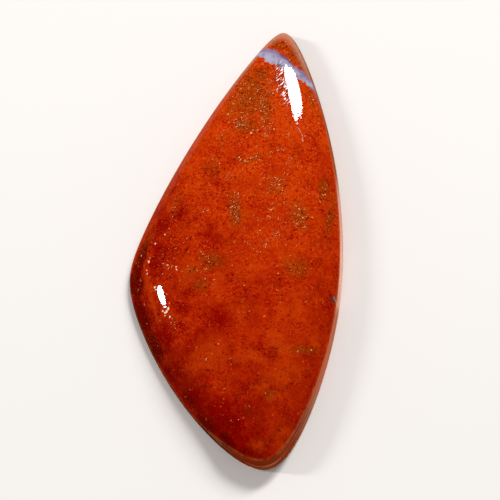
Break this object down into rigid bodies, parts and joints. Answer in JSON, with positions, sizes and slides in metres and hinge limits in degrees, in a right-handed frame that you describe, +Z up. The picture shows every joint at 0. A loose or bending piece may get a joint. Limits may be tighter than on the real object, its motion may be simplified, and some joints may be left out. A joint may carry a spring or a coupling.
{
  "type": "seam agate cabochon",
  "caption": "Free-form polished cabochon of orange-red agate with a lavender seam near its pointed tip, flat on the back.",
  "frame": {"origin": "middle of the outline's box, on the flat back", "axes": "+Y along the stone's length towards the sharp tip, +Z up through the dome, +X across towards the long curved side"},
  "size_m": [0.0208, 0.0434, 0.0046],
  "materials": {
    "polished_agate": "glossy polish on orange-red agate with deep red clouds, brown flecks and a lavender chalcedony seam"
  },
  "bodies": {
    "root": {"cabochon": "polished_agate"}
  },
  "joints": []
}
